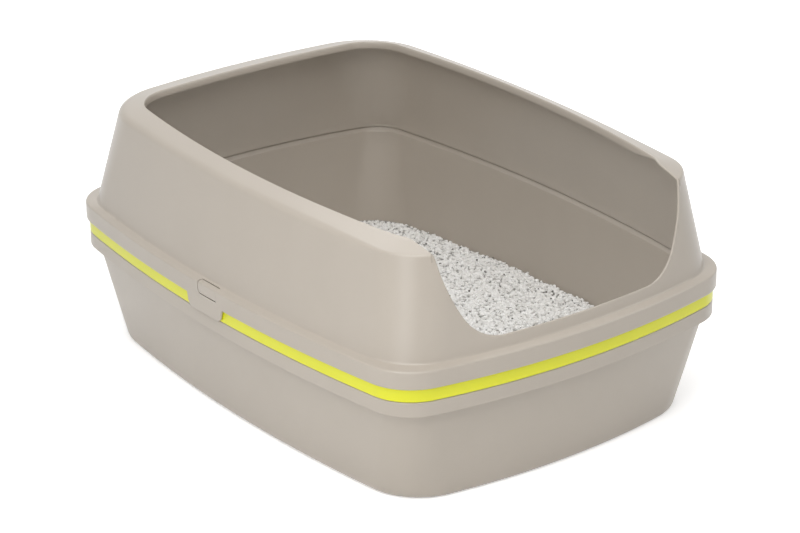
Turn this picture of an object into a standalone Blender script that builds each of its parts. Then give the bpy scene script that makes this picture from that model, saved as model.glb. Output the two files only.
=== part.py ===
# Sifting litter box: two nesting pans with a sifting tray between them, a layer of
# litter, and a high removable shield with a low entry notch.
# Metres, +Z up. X is the width, Y the length, and the entry notch faces -Y.
# The origin is on the floor under the middle of the box.

import math

import bmesh
import bpy
from mathutils import Vector

# Plan of the rims, over the outside of the pan lips
RIM_LENGTH = 0.500
RIM_WIDTH = 0.3675
RIM_CORNER_RADIUS = 0.041
RIM_SIDE_ARC = 1.382  # radius of the gently bowed long edges
RIM_END_ARC = 0.657  # radius of the gently bowed short edges

# Pans and sifting tray, which share one shape so that they nest
PAN_HEIGHT = 0.0982
PAN_WALL = 0.00165
FLOOR_THICKNESS = 0.0018
FLOOR_EDGE_RADIUS = 0.007
SIDE_DRAFT = 0.168  # lean of the long walls, inwards per unit of depth
END_DRAFT = 0.186
CORNER_DRAFT = 0.22  # growth of the corner radius per unit of depth
NEST_CLEARANCE = 0.0005
LIP_REACH = 0.00717  # from the lip's outer face in to the wall below it
LIP_THICKNESS = 0.0017
LIP_EDGE_RADIUS = 0.0012
FLANGE_THICKNESS = 0.0019
RIM_WALL_INSET = 0.0036  # outer face of the wall behind the lip
STEP_COVER = 0.0011  # how far the lip hangs below the step in the wall
STACK_GAP = 0.0003

# Slots through the sifting tray's floor
SLOT_WIDTH = 0.007
SLOT_LENGTH = 0.040
SLOT_WEB = 0.008
SLOT_BRIDGE = 0.012
SLOT_MARGIN = 0.013

# Litter
LITTER_DEPTH = 0.0078  # in the middle of the pan
LITTER_SLOPE = 0.018  # it lies deeper towards the entry
LITTER_GAP = 0.0004
LUMP_HEIGHT = 0.0024
LUMP_PITCH = 0.058

# Shield
SHIELD_WALL = 0.0021
SKIRT_CLEARANCE = 0.0004
SKIRT_DEPTH = 0.0164
SHOULDER_RADIUS = 0.0015
SHOULDER_FALL = 0.0013  # how much lower the shoulder is at its outer edge
SHOULDER_WIDTH = 0.0076  # from the skirt's outer face in to the upright wall
WALL_CORNER_RADIUS = 0.052  # of the upright wall where it stands on the shoulder
SHIELD_FILLET = 0.0016
FOOT_CLEARANCE = 0.001  # under the shield's foot, inside the upper pan
UPRIGHT_HEIGHT = 0.0827  # shoulder to crease, half way along the box
BACK_RISE = 0.0034  # how much higher the crease is at the back than at the front
CREASE_SIDE_INSET = 0.0226
CREASE_END_INSET = 0.0218
CREASE_CORNER_RADIUS = 0.067
CREASE_FRONT_RADIUS = 0.050  # of the two corners beside the entry notch
CREASE_SIDE_ARC = 1.60
CREASE_END_ARC = 0.80
CREASE_SOFTNESS = 0.0045
BEVEL_RISE = 0.0061
OPENING_SIDE_INSET = 0.0393
OPENING_END_INSET = 0.0503
OPENING_CORNER_RADIUS = 0.038
OPENING_SIDE_ARC = 1.09
OPENING_END_ARC = 0.95

# Entry notch in the front of the shield
NOTCH_SILL = 0.010  # sill above the shoulder
NOTCH_MARGIN = 0.0622  # from the rim in to the steep side of the notch
NOTCH_LOW_RADIUS = 0.038
NOTCH_HIGH_RADIUS = 0.140
NOTCH_LOW_ANGLE = math.radians(60)
NOTCH_SIDE_ANGLE = math.radians(80)

# Latches on the long sides
TAB_WIDTH = 0.0495
TAB_CENTRE = 0.0043
TAB_DROP = 0.0113
TAB_CORNER_RADIUS = 0.007
TONGUE_LENGTH = 0.025
TONGUE_ROOT = -0.013
TONGUE_DROP = 0.0107  # from the shoulder's top down the skirt
TONGUE_REACH = 0.0041  # from the skirt's outer face in over the shoulder
TONGUE_CORNER_RADIUS = 0.0035
SLIT_WIDTH = 0.0008
ROOT_GAP = 0.0003

SIDE_STEPS = 3
CORNER_STEPS = 8
END_STEPS = 3
ROUND_STEPS = 3
WALL_STEPS = 3
ARC_STEPS = 6
LUMP_STEPS = 4  # faces to one pitch of the lumps
SMOOTH_ANGLE = math.radians(35)
CUT_SPARE = 0.010  # how far cutters run on past what they cut

# What the sizes above settle
PITCH = (PAN_WALL + NEST_CLEARANCE) / min(SIDE_DRAFT, END_DRAFT)
LIP_HEIGHT = PITCH - STACK_GAP
UPPER_RIM = PAN_HEIGHT + 2 * PITCH
SHOULDER_TOP = UPPER_RIM + STACK_GAP + SHIELD_WALL
SKIRT_FACE = -SKIRT_CLEARANCE - SHIELD_WALL
CREASE_HEIGHT = SHOULDER_TOP + UPRIGHT_HEIGHT
SHIELD_TOP = CREASE_HEIGHT + BACK_RISE / 2 + BEVEL_RISE


def quarter_outline(length, width, side_arc, end_arc, radius, inset):
    """From the middle of the long edge at +X round the corner, short of the end's middle at +Y."""
    side_centre = Vector((width / 2 - side_arc, 0))
    end_centre = Vector((0, length / 2 - end_arc))
    side_reach = side_arc - radius
    end_reach = end_arc - radius
    span = end_centre - side_centre
    along = (side_reach**2 - end_reach**2 + span.length**2) / (2 * span.length)
    across = math.sqrt(side_reach**2 - along**2)
    direction = span.normalized()
    corner = side_centre + direction * along + Vector((direction.y, -direction.x)) * across
    if corner.x + corner.y < 0:
        corner = side_centre + direction * along - Vector((direction.y, -direction.x)) * across
    side_end = math.atan2(corner.y - side_centre.y, corner.x - side_centre.x)
    corner_end = math.atan2(corner.y - end_centre.y, corner.x - end_centre.x)
    arcs = (
        (side_centre, side_arc - inset, 0.0, side_end, SIDE_STEPS),
        (corner, radius - inset, side_end, corner_end, CORNER_STEPS),
        (end_centre, end_arc - inset, corner_end, math.pi / 2, END_STEPS),
    )
    quarter = []
    for centre, arc_radius, start, end, steps in arcs:
        for step in range(steps):
            angle = start + (end - start) * step / steps
            quarter.append((centre.x + arc_radius * math.cos(angle), centre.y + arc_radius * math.sin(angle)))
    return quarter


def outline(length, width, side_arc, end_arc, radius, inset=0.0, front_radius=None):
    """Rectangle with bowed edges and round corners, moved in by inset, from +X anticlockwise."""
    back = quarter_outline(length, width, side_arc, end_arc, radius, inset)
    front = quarter_outline(length, width, side_arc, end_arc, front_radius or radius, inset)
    end = length / 2 - inset
    half = back + [(0.0, end)] + [(-x, y) for x, y in reversed(back[1:])]
    half += [(-x, -y) for x, y in front] + [(0.0, -end)]
    return half + [(x, -y) for x, y in reversed(front[1:])]


def rim_plan(inset):
    return outline(RIM_LENGTH, RIM_WIDTH, RIM_SIDE_ARC, RIM_END_ARC, RIM_CORNER_RADIUS, inset)


def wall_plan(depth, inset):
    """Outer face of a pan's wall at a depth below its lip, moved in by inset."""
    side_inset = LIP_REACH + SIDE_DRAFT * depth
    end_inset = LIP_REACH + END_DRAFT * depth
    return outline(
        RIM_LENGTH - 2 * end_inset,
        RIM_WIDTH - 2 * side_inset,
        RIM_SIDE_ARC - side_inset,
        RIM_END_ARC - end_inset,
        RIM_CORNER_RADIUS - LIP_REACH + CORNER_DRAFT * depth,
        inset,
    )


def wall_foot_plan(inset):
    """Outer face of the shield's upright wall where it stands on the shoulder, moved in by inset."""
    foot = SKIRT_FACE + SHOULDER_WIDTH
    length = RIM_LENGTH - 2 * foot
    width = RIM_WIDTH - 2 * foot
    return outline(length, width, RIM_SIDE_ARC - foot, RIM_END_ARC - foot, WALL_CORNER_RADIUS, inset)


def crease_plan(inset):
    return outline(
        RIM_LENGTH - 2 * CREASE_END_INSET,
        RIM_WIDTH - 2 * CREASE_SIDE_INSET,
        CREASE_SIDE_ARC,
        CREASE_END_ARC,
        CREASE_CORNER_RADIUS,
        inset,
        CREASE_FRONT_RADIUS,
    )


def opening_plan(inset):
    return outline(
        RIM_LENGTH - 2 * OPENING_END_INSET,
        RIM_WIDTH - 2 * OPENING_SIDE_INSET,
        OPENING_SIDE_ARC,
        OPENING_END_ARC,
        OPENING_CORNER_RADIUS,
        inset,
    )


def level(plan, height):
    return [Vector((x, y, height)) for x, y in plan]


def sloped(plan, height):
    """A ring that is half of BACK_RISE higher at the back end and lower at the front."""
    return [Vector((x, y, height + BACK_RISE * y / RIM_LENGTH)) for x, y in plan]


def mixed(first, second, share):
    return [a.lerp(b, share) for a, b in zip(first, second)]


def loft(rings, closed=False):
    """Mesh through a row of rings; its ends are capped, or joined to each other if closed."""
    mesh = bmesh.new()
    rows = [[mesh.verts.new(point) for point in ring] for ring in rings]
    count = len(rows[0])
    pairs = list(zip(rows, rows[1:]))
    if closed:
        pairs.append((rows[-1], rows[0]))
    for lower, upper in pairs:
        for i in range(count):
            j = (i + 1) % count
            mesh.faces.new((lower[i], lower[j], upper[j], upper[i]))
    if not closed:
        mesh.faces.new(list(reversed(rows[0])))
        mesh.faces.new(rows[-1])
    bmesh.ops.recalc_face_normals(mesh, faces=mesh.faces)
    return mesh


def prism(profile, low, high, axis):
    """Solid with a profile drawn across an axis (0 for X, 1 for Y, 2 for Z), from low to high on it."""
    mesh = bmesh.new()
    ends = []
    for place in (low, high):
        corners = []
        for u, v in profile:
            point = [u, v]
            point.insert(axis, place)
            corners.append(mesh.verts.new(point))
        ends.append(corners)
    count = len(profile)
    for i in range(count):
        j = (i + 1) % count
        mesh.faces.new((ends[0][i], ends[0][j], ends[1][j], ends[1][i]))
    mesh.faces.new(ends[0])
    mesh.faces.new(ends[1])
    bmesh.ops.recalc_face_normals(mesh, faces=mesh.faces)
    return mesh


def arc(centre, radius, start, end, steps):
    """Points of an arc about centre, with angles from the first axis."""
    points = []
    for step in range(steps + 1):
        angle = start + (end - start) * step / steps
        points.append((centre[0] + radius * math.cos(angle), centre[1] + radius * math.sin(angle)))
    return points


def plastic(name, colour, roughness):
    material = bpy.data.materials.new(name)
    material.use_nodes = True
    shader = material.node_tree.nodes["Principled BSDF"]
    shader.inputs["Base Color"].default_value = (*colour, 1.0)
    shader.inputs["Roughness"].default_value = roughness
    shader.inputs["Metallic"].default_value = 0.0
    return material


def add_object(name, mesh, material=None, origin=(0.0, 0.0, 0.0)):
    """Object from a bmesh in world coordinates, with its own origin put where it is wanted."""
    bmesh.ops.translate(mesh, vec=-Vector(origin), verts=mesh.verts)
    data = bpy.data.meshes.new(name)
    mesh.to_mesh(data)
    mesh.free()
    data.shade_smooth()
    data.set_sharp_from_angle(angle=SMOOTH_ANGLE)
    new_object = bpy.data.objects.new(name, data)
    new_object.location = origin
    bpy.context.scene.collection.objects.link(new_object)
    if material:
        data.materials.append(material)
    return new_object


def add_cutter(name, mesh):
    cutter = add_object(name, mesh)
    cutter.hide_render = True
    cutter.display_type = "WIRE"
    return cutter


def add_boolean(target, cutter, operation="DIFFERENCE"):
    modifier = target.modifiers.new(cutter.name, "BOOLEAN")
    modifier.operation = operation
    modifier.solver = "EXACT"
    modifier.object = cutter


def edge_round(radius, draft, wall_inset, base, lip):
    """Rings from a pan's wall down round the edge of its floor, for the face wall_inset inside."""
    lean = math.atan(draft)
    centre = radius / math.cos(lean) - draft * radius
    rings = []
    for step in range(ROUND_STEPS + 1):
        turn = lean + (math.pi / 2 - lean) * step / ROUND_STEPS
        rise = radius - radius * math.sin(turn)
        extra = centre - radius * math.cos(turn) + draft * rise
        rings.append(level(wall_plan(lip - base - rise, wall_inset + extra), base + rise))
    return rings


def wall_rings(low, high, wall_inset, lip):
    """Rings between two heights on a pan's wall, which keep its faces from twisting."""
    heights = [low + (high - low) * step / WALL_STEPS for step in range(1, WALL_STEPS)]
    return [level(wall_plan(lip - height, wall_inset), height) for height in heights]


def pan_mesh(floor_height):
    """One pan or tray standing with its floor's underside at floor_height."""
    rim = floor_height + PAN_HEIGHT
    lip = rim - LIP_HEIGHT
    step_low = lip + STEP_COVER
    step_width = LIP_REACH - SIDE_DRAFT * STEP_COVER - RIM_WALL_INSET
    step_high = step_low + step_width
    wall_shift = PAN_WALL * math.tan(math.pi / 8)
    inner_rim = RIM_WALL_INSET + PAN_WALL
    inner_edge = LIP_EDGE_RADIUS / 2
    rings = list(reversed(edge_round(FLOOR_EDGE_RADIUS, SIDE_DRAFT, 0.0, floor_height, lip)))
    rings += wall_rings(floor_height + FLOOR_EDGE_RADIUS, step_low, 0.0, lip)
    rings.append(level(wall_plan(-STEP_COVER, 0.0), step_low))
    rings.append(level(rim_plan(RIM_WALL_INSET), step_high))
    rings.append(level(rim_plan(RIM_WALL_INSET), rim - FLANGE_THICKNESS))
    rings.append(level(rim_plan(LIP_THICKNESS), rim - FLANGE_THICKNESS))
    rings.append(level(rim_plan(LIP_THICKNESS), lip))
    rings.append(level(rim_plan(0.0), lip))
    for turn in (0.0, math.pi / 4, math.pi / 2):
        inset = LIP_EDGE_RADIUS * (1 - math.cos(turn))
        rings.append(level(rim_plan(inset), rim - LIP_EDGE_RADIUS * (1 - math.sin(turn))))
    rings.append(level(rim_plan(inner_rim - inner_edge), rim))
    rings.append(level(rim_plan(inner_rim), rim - inner_edge))
    rings.append(level(rim_plan(inner_rim), step_high + wall_shift))
    rings.append(level(wall_plan(-STEP_COVER - wall_shift, PAN_WALL), step_low + wall_shift))
    inner_floor = floor_height + FLOOR_THICKNESS
    inner_radius = FLOOR_EDGE_RADIUS - FLOOR_THICKNESS
    rings += wall_rings(step_low + wall_shift, inner_floor + inner_radius, PAN_WALL, lip)
    rings += edge_round(inner_radius, SIDE_DRAFT, PAN_WALL, inner_floor, lip)
    return loft(rings)


def slot_cutter(floor_height):
    """Rows of slots over the flat part of a tray's floor."""
    depth = PAN_HEIGHT - LIP_HEIGHT
    half_width = RIM_WIDTH / 2 - LIP_REACH - SIDE_DRAFT * depth - FLOOR_EDGE_RADIUS - SLOT_MARGIN
    half_length = RIM_LENGTH / 2 - LIP_REACH - END_DRAFT * depth - FLOOR_EDGE_RADIUS - SLOT_MARGIN
    column_pitch = SLOT_WIDTH + SLOT_WEB
    row_pitch = SLOT_LENGTH + SLOT_BRIDGE
    columns = int((2 * half_width + SLOT_WEB) / column_pitch)
    rows = int((2 * half_length + SLOT_BRIDGE) / row_pitch)
    mesh = bmesh.new()
    for column in range(columns):
        for row in range(rows):
            x = (column - (columns - 1) / 2) * column_pitch
            y = (row - (rows - 1) / 2) * row_pitch
            slot = bmesh.ops.create_cube(mesh, size=1.0)["verts"]
            bmesh.ops.scale(mesh, vec=(SLOT_WIDTH, SLOT_LENGTH, 4 * FLOOR_THICKNESS), verts=slot)
            bmesh.ops.translate(mesh, vec=(x, y, floor_height), verts=slot)
    return mesh


def litter_space(floor_height):
    """Space between a pan's walls that litter can fill, from its floor up to its lip."""
    lip = floor_height + PAN_HEIGHT - LIP_HEIGHT
    bed = floor_height + FLOOR_THICKNESS + LITTER_GAP
    side = PAN_WALL + LITTER_GAP
    corner = FLOOR_EDGE_RADIUS - FLOOR_THICKNESS
    rings = list(reversed(edge_round(corner, SIDE_DRAFT, side, bed, lip)))
    rings.append(level(wall_plan(0.0, side), lip))
    return loft(rings)


def litter_top(x, y):
    """Depth of the litter: it slopes along the pan and lies in low lumps."""
    turn = math.tau / LUMP_PITCH
    lumps = math.sin(turn * (x + y / 2)) * math.cos(turn * (y - x / 3))
    return LITTER_DEPTH - LITTER_SLOPE * y + LUMP_HEIGHT / 2 * lumps


def above_litter(floor_height):
    """Everything over the lumpy top of the litter."""
    bed = floor_height + FLOOR_THICKNESS + LITTER_GAP
    top = floor_height + PAN_HEIGHT
    columns = math.ceil(RIM_WIDTH / LUMP_PITCH * LUMP_STEPS)
    rows = math.ceil(RIM_LENGTH / LUMP_PITCH * LUMP_STEPS)
    rings = []
    for row in range(rows + 1):
        y = (row / rows - 1 / 2) * RIM_LENGTH
        places = [(column / columns - 1 / 2) * RIM_WIDTH for column in range(columns + 1)]
        ring = [Vector((x, y, bed + litter_top(x, y))) for x in places]
        rings.append([Vector((places[0], y, top))] + ring + [Vector((places[-1], y, top))])
    return loft(rings)


def shield_mesh():
    """Shield before it is cut, with a skirt deeper than the latch tabs all round."""
    inner_skirt = -SKIRT_CLEARANCE
    skirt_end = SHOULDER_TOP - SKIRT_DEPTH - TAB_DROP - CUT_SPARE
    wall_foot = SKIRT_FACE + SHOULDER_WIDTH
    inner_face = wall_foot + SHIELD_WALL
    flange_inner = RIM_WALL_INSET + PAN_WALL
    step_width = LIP_REACH - SIDE_DRAFT * STEP_COVER - RIM_WALL_INSET
    step_top = UPPER_RIM - LIP_HEIGHT + STEP_COVER + step_width + PAN_WALL * math.tan(math.pi / 8)
    foot = step_top + FOOT_CLEARANCE
    under = UPPER_RIM + STACK_GAP
    rings = [level(rim_plan(inner_skirt), skirt_end), level(rim_plan(SKIRT_FACE), skirt_end)]
    shoulder_edge = SHOULDER_TOP - SHOULDER_FALL
    for turn in (0.0, math.pi / 6, math.pi / 3, math.pi / 2):
        inset = SKIRT_FACE + SHOULDER_RADIUS * (1 - math.cos(turn))
        rings.append(level(rim_plan(inset), shoulder_edge - SHOULDER_RADIUS * (1 - math.sin(turn))))
    for turn in (0.0, math.pi / 4, math.pi / 2):
        inset = -SHIELD_FILLET * (1 - math.sin(turn))
        rings.append(level(wall_foot_plan(inset), SHOULDER_TOP + SHIELD_FILLET * (1 - math.cos(turn))))
    base = rings[-1]
    crease = sloped(crease_plan(0.0), CREASE_HEIGHT)
    opening = sloped(opening_plan(0.0), CREASE_HEIGHT + BEVEL_RISE)
    below = mixed(crease, base, CREASE_SOFTNESS / UPRIGHT_HEIGHT)
    above = mixed(crease, opening, CREASE_SOFTNESS / (OPENING_SIDE_INSET - CREASE_SIDE_INSET))
    rings += [below, mixed(mixed(below, above, 0.5), crease, 0.5), above, opening]
    rings.append(sloped(opening_plan(0.0), CREASE_HEIGHT + BEVEL_RISE - SHIELD_WALL))
    rings.append(sloped(crease_plan(SHIELD_WALL + CREASE_SOFTNESS / 2), CREASE_HEIGHT - SHIELD_WALL / 2))
    rings.append(sloped(crease_plan(SHIELD_WALL), CREASE_HEIGHT - SHIELD_WALL - CREASE_SOFTNESS))
    rings.append(level(wall_foot_plan(SHIELD_WALL), SHOULDER_TOP + SHIELD_FILLET))
    rings.append(level(rim_plan(inner_face), foot))
    rings.append(level(rim_plan(flange_inner + SKIRT_CLEARANCE), foot))
    rings.append(level(rim_plan(flange_inner + SKIRT_CLEARANCE), under))
    chamfer = LIP_EDGE_RADIUS - SKIRT_CLEARANCE
    rings.append(level(rim_plan(inner_skirt + chamfer), under))
    rings.append(level(rim_plan(inner_skirt), under - chamfer))
    return loft(rings, closed=True)


def skirt_trim():
    """Everything below the skirt's edge apart from the two latch tabs."""
    edge = SHOULDER_TOP - SKIRT_DEPTH
    tab_end = edge - TAB_DROP
    low = tab_end - 2 * CUT_SPARE
    near = TAB_CENTRE - TAB_WIDTH / 2
    far = TAB_CENTRE + TAB_WIDTH / 2
    radius = TAB_CORNER_RADIUS
    profile = [(-RIM_LENGTH, low), (RIM_LENGTH, low), (RIM_LENGTH, edge), (far, edge)]
    profile += arc((far - radius, tab_end + radius), radius, 0.0, -math.pi / 2, ARC_STEPS)
    profile += arc((near + radius, tab_end + radius), radius, -math.pi / 2, -math.pi, ARC_STEPS)
    profile += [(near, edge), (-RIM_LENGTH, edge)]
    return prism(profile, -RIM_WIDTH, RIM_WIDTH, 0)


def notch_cutter():
    """The entry notch seen from the front, straight through the front wall and its bevel."""
    sill = SHOULDER_TOP + NOTCH_SILL
    reach = NOTCH_HIGH_RADIUS - NOTCH_LOW_RADIUS
    curve = NOTCH_HIGH_RADIUS * math.sin(NOTCH_SIDE_ANGLE) - reach * math.sin(NOTCH_LOW_ANGLE)
    flat = RIM_WIDTH / 2 - NOTCH_MARGIN - curve  # half of the level sill
    low_centre = (flat, sill + NOTCH_LOW_RADIUS)
    right = arc(low_centre, NOTCH_LOW_RADIUS, -math.pi / 2, NOTCH_LOW_ANGLE - math.pi / 2, ARC_STEPS)
    high_centre = (
        low_centre[0] - reach * math.sin(NOTCH_LOW_ANGLE),
        low_centre[1] + reach * math.cos(NOTCH_LOW_ANGLE),
    )
    start = NOTCH_LOW_ANGLE - math.pi / 2
    right += arc(high_centre, NOTCH_HIGH_RADIUS, start, NOTCH_SIDE_ANGLE - math.pi / 2, ARC_STEPS)[1:]
    above = SHIELD_TOP + CUT_SPARE
    last = right[-1]
    right.append((last[0] + (above - last[1]) / math.tan(NOTCH_SIDE_ANGLE), above))
    profile = right + [(-x, z) for x, z in reversed(right)]
    return prism(profile, -RIM_LENGTH, -RIM_LENGTH / 2 + OPENING_END_INSET + OPENING_CORNER_RADIUS, 1)


def tongue_prism(side, grow, root):
    """Space round one latch tongue, grown by grow, with root added or taken at its root."""
    outer = RIM_WIDTH / 2 - SKIRT_FACE + CUT_SPARE
    inner = RIM_WIDTH / 2 - SKIRT_FACE - TONGUE_REACH - grow
    low = SHOULDER_TOP - TONGUE_DROP - grow
    near = TONGUE_ROOT - root
    far = TONGUE_ROOT + TONGUE_LENGTH + grow
    radius = TONGUE_CORNER_RADIUS + grow
    top = SHOULDER_TOP + CUT_SPARE
    face = [(near, low)]
    face += arc((far - radius, low + radius), radius, -math.pi / 2, 0.0, ARC_STEPS)
    face += [(far, top), (near, top)]
    return prism(face, side * inner, side * outer, 0)


def build():
    for old in list(bpy.data.objects):
        bpy.data.objects.remove(old, do_unlink=True)

    warm_grey = (0.47, 0.43, 0.375)
    base_finish = plastic("base_pan_plastic", warm_grey, 0.42)
    tray_finish = plastic("sifting_tray_plastic", (0.80, 0.80, 0.03), 0.38)
    pan_finish = plastic("litter_pan_plastic", warm_grey, 0.42)
    shield_finish = plastic("shield_plastic", warm_grey, 0.38)
    litter_finish = plastic("litter_granules", (0.78, 0.77, 0.75), 0.9)

    add_object("base_pan", pan_mesh(0.0), base_finish)
    tray = add_object("sifting_tray", pan_mesh(PITCH), tray_finish)
    add_boolean(tray, add_cutter("slots", slot_cutter(PITCH)))
    add_object("litter_pan", pan_mesh(2 * PITCH), pan_finish)
    litter = add_object("litter_bed", litter_space(2 * PITCH), litter_finish)
    add_boolean(litter, add_cutter("above_litter", above_litter(2 * PITCH)))

    shield = add_object("entry_shield", shield_mesh(), shield_finish)
    add_boolean(shield, add_cutter("skirt_trim", skirt_trim()))
    add_boolean(shield, add_cutter("notch", notch_cutter()))
    hinge_x = RIM_WIDTH / 2 - SKIRT_FACE - SHIELD_WALL / 2
    hinge_z = SHOULDER_TOP - TONGUE_DROP / 2
    for side, label in ((-1, "left"), (1, "right")):
        slit = add_cutter("slit_" + label, tongue_prism(side, SLIT_WIDTH, ROOT_GAP))
        add_boolean(shield, slit)
        hinge = (side * hinge_x, TONGUE_ROOT, hinge_z)
        finish = plastic("latch_tongue_" + label + "_plastic", warm_grey, 0.38)
        tongue = add_object("latch_tongue_" + label, shield_mesh(), finish, hinge)
        add_boolean(tongue, add_cutter("tongue_" + label, tongue_prism(side, 0.0, 0.0)), "INTERSECT")


build()
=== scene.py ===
# Sifting litter box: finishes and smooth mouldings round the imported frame.
# Metres, +Z up. X is the width, Y the length, and the entry notch faces -Y.

import math
import random

import bmesh
import bpy
import numpy as np
from mathutils import Matrix, Vector


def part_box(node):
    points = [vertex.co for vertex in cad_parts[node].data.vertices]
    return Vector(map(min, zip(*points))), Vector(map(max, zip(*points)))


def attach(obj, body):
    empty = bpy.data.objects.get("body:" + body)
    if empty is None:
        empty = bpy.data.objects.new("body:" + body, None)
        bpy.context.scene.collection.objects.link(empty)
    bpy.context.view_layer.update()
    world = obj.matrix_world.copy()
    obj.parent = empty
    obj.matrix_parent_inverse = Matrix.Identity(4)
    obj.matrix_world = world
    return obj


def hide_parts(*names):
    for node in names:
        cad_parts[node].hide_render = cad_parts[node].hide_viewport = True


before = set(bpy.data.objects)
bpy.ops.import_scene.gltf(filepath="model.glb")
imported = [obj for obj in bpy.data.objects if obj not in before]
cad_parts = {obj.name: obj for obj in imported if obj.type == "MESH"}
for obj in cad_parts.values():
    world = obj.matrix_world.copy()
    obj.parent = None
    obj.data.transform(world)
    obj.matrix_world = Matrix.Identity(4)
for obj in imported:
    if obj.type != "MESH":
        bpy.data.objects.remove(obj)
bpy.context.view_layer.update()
mm = 0.001

for old in bpy.context.selected_objects:
    old.select_set(False)

# sizes taken from the frame

baseLow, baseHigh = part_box("base_pan")
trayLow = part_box("sifting_tray")[0]
panLow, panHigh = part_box("litter_pan")
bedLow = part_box("litter_bed")[0]
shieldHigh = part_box("entry_shield")[1]

rimWidth = baseHigh.x - baseLow.x
rimLength = baseHigh.y - baseLow.y
panHeight = baseHigh.z - baseLow.z
pitch = trayLow.z - baseLow.z
skirtReach = shieldHigh.x - rimWidth / 2

weld = 0.02 * mm
crispAngle = 40  # degrees from which an edge stays sharp

sectionForm = {
    "steps": 5,  # over a rounded corner
    "longest": 12 * mm,  # between two rows of a long run
    "shortest": 1.2 * mm,  # run that gets rows of its own
    "support": 0.4 * mm,  # from a rounded corner to the next row
}

rimForm = {"sideArc": 1.382, "endArc": 0.657, "corner": 0.041}

panForm = {
    "wall": 1.65 * mm,
    "floor": 1.8 * mm,
    "floorEdge": 7 * mm,
    "sideDraft": 0.168,
    "endDraft": 0.186,
    "cornerDraft": 0.22,
    "lipReach": 7.17 * mm,
    "lipThickness": 1.7 * mm,
    "lipEdge": 1.2 * mm,
    "lipGap": 0.3 * mm,
    "flange": 1.9 * mm,
    "rimInset": 3.6 * mm,
    "stepCover": 1.1 * mm,
    "floorRing": 40 * mm,
    "stepRound": 1.0 * mm,
    "stepTopRound": 0.7 * mm,
    "flangeRound": 0.3 * mm,
    "lipInnerRound": 0.4 * mm,
    "lipFootRound": 0.5 * mm,
    "rimInnerRound": 0.6 * mm,
    "columns": 96,  # around a quarter of the plan
    "columnShares": (0.36, 0.34, 0.30),  # of the side, the corner and the end
}

slotForm = {
    "width": 7 * mm,
    "length": 40 * mm,
    "web": 8 * mm,
    "bridge": 12 * mm,
    "margin": 13 * mm,
    "cutHeight": 7.2 * mm,
    "segments": 6,
}

shieldForm = {
    "wall": 2.1 * mm,
    "skirtGap": 0.4 * mm,
    "skirtDepth": 16.4 * mm,
    "shoulderRadius": 1.7 * mm,
    "shoulderFall": 1.3 * mm,  # over the shoulder, outwards
    "shoulderWidth": 7.6 * mm,
    "wallCorner": 52 * mm,
    "fillet": 1.6 * mm,
    "underGap": 0.3 * mm,
    "footGap": 1.0 * mm,
    "upright": 82.7 * mm,
    "backRise": 3.4 * mm,
    "creaseSide": 22.6 * mm,
    "creaseEnd": 21.8 * mm,
    "creaseCorner": 67 * mm,
    "creaseFront": 50 * mm,  # the two corners beside the entry notch
    "creaseSideArc": 1.60,
    "creaseEndArc": 0.80,
    "creaseSoftness": 4.5 * mm,
    "creaseCrisp": 1.5 * mm,  # round the front corners
    "crispEnd": 1.75,  # station where the crease starts to get softer
    "softRun": 0.7,  # stations over which it does
    "bevelRise": 6.1 * mm,
    "openingSide": 39.3 * mm,
    "openingEnd": 50.3 * mm,
    "openingCorner": 38 * mm,
    "openingFront": 18 * mm,  # the two corners beside the entry notch
    "openingSideArc": 1.09,
    "openingEndArc": 0.95,
    "edgeRound": 0.8 * mm,
    "turnDown": 4.5 * mm,  # of the opening's edge
    "turnFade": 30 * mm,  # beside the entry notch it fades out
    "bottomRound": 0.6 * mm,
    "footRound": 0.8 * mm,
    "footInnerRound": 0.4 * mm,
    "footStraight": 2 * mm,
    "underRound": 0.2 * mm,
    "skirtRound": 0.8 * mm,
    "skirtStart": 4 * mm,  # below the rim
    "liningBlend": 0.16,  # climb where the lining turns in to the foot
    "filletEnd": 0.012,  # climb where the fillet ends
    "bevelEnd": 1.95,  # climb of the last row below the opening
    "bevelShares": (0.03, 0.25, 0.5, 0.75, 1.0),
    "skirtShares": (0, 0.08, 0.5),
    "shoulderShares": (0.3, 0.6, 0.92),
    "underShares": (0.5, 0.9, 1.0),
    "uprightEdge": 0.006,
    "uprightSteps": 18,
    "softSteps": 8,
    "smallSteps": 6,
    "lowerSteps": 4,
    "columns": (84, 60, 56, 44, 34, 30),  # from each station to the next
    "tries": 401,  # climbs looked at for the start of the notch
    "halvings": 18,
    "stopClimb": 0.004,  # rows this near the free edge are laid on it
    "stopReach": 0.15,
    "stopRoom": 0.35 * mm,
    "reachesOpening": 1.999,  # climb of a column that ends at the opening
}
shoulderTop = panHigh.z + shieldForm["underGap"] + shieldForm["wall"]
panLip = panHigh.z - pitch + panForm["lipGap"]  # underside of the litter pan's lip

notchForm = {
    "sill": 10 * mm,  # above the shoulder
    "margin": 62.2 * mm,  # from the rim in to the steep side
    "lowRadius": 38 * mm,
    "highRadius": 140 * mm,
    "lowAngle": math.radians(60),
    "sideAngle": math.radians(80),
    "flare": 1.2 * mm,  # how much wider it gets over the bevel
    "cornerRound": 4 * mm,  # where the notch runs into the opening
}

tabForm = {
    "width": 49.5 * mm,
    "centre": 4.3 * mm,
    "drop": 11.3 * mm,
    "corner": 7 * mm,
    "slant": 0.6 * mm,
    "beside": 0.4 * mm,  # from the tab to a column of its own
    "cornerSteps": 8,
    "spacing": 1.2 * mm,  # between its columns and the others
    "reach": 0.5,  # stations either way of the side middle
}

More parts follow.
